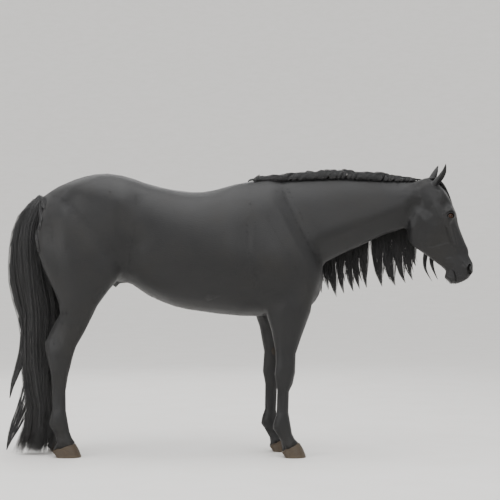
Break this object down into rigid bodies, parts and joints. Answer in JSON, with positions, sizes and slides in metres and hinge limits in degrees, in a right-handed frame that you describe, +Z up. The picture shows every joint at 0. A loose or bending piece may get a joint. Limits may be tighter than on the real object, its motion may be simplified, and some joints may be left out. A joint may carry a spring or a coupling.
{
  "type": "horse",
  "caption": "Standing black stock-type horse with a long mane on its left side, forelock and full tail; a still figure at life size.",
  "frame": {"origin": "on the floor, under the middle of the horse's box", "axes": "+X towards the head, +Y towards the horse's left side, +Z up"},
  "size_m": [2.647, 0.6032, 1.6443],
  "materials": {
    "coat": "short black hair that lies flat, with a soft sheen",
    "long_hair": "black mane, forelock and tail, coarse strands",
    "hoof": "brown horn with faint growth rings",
    "eye": "wet, dark amber-brown"
  },
  "bodies": {
    "root": {"head": "coat", "neck": "coat", "trunk": "coat", "foreleg_left": "coat", "foreleg_right": "coat", "hindleg_left": "coat", "hindleg_right": "coat", "ear_left": "coat", "ear_right": "coat", "hoof_fore_left": "hoof", "hoof_fore_right": "hoof", "hoof_hind_left": "hoof", "hoof_hind_right": "hoof", "eye_left": "eye", "eye_right": "eye", "mane": "long_hair", "forelock": "long_hair", "tail": "long_hair"}
  },
  "joints": []
}
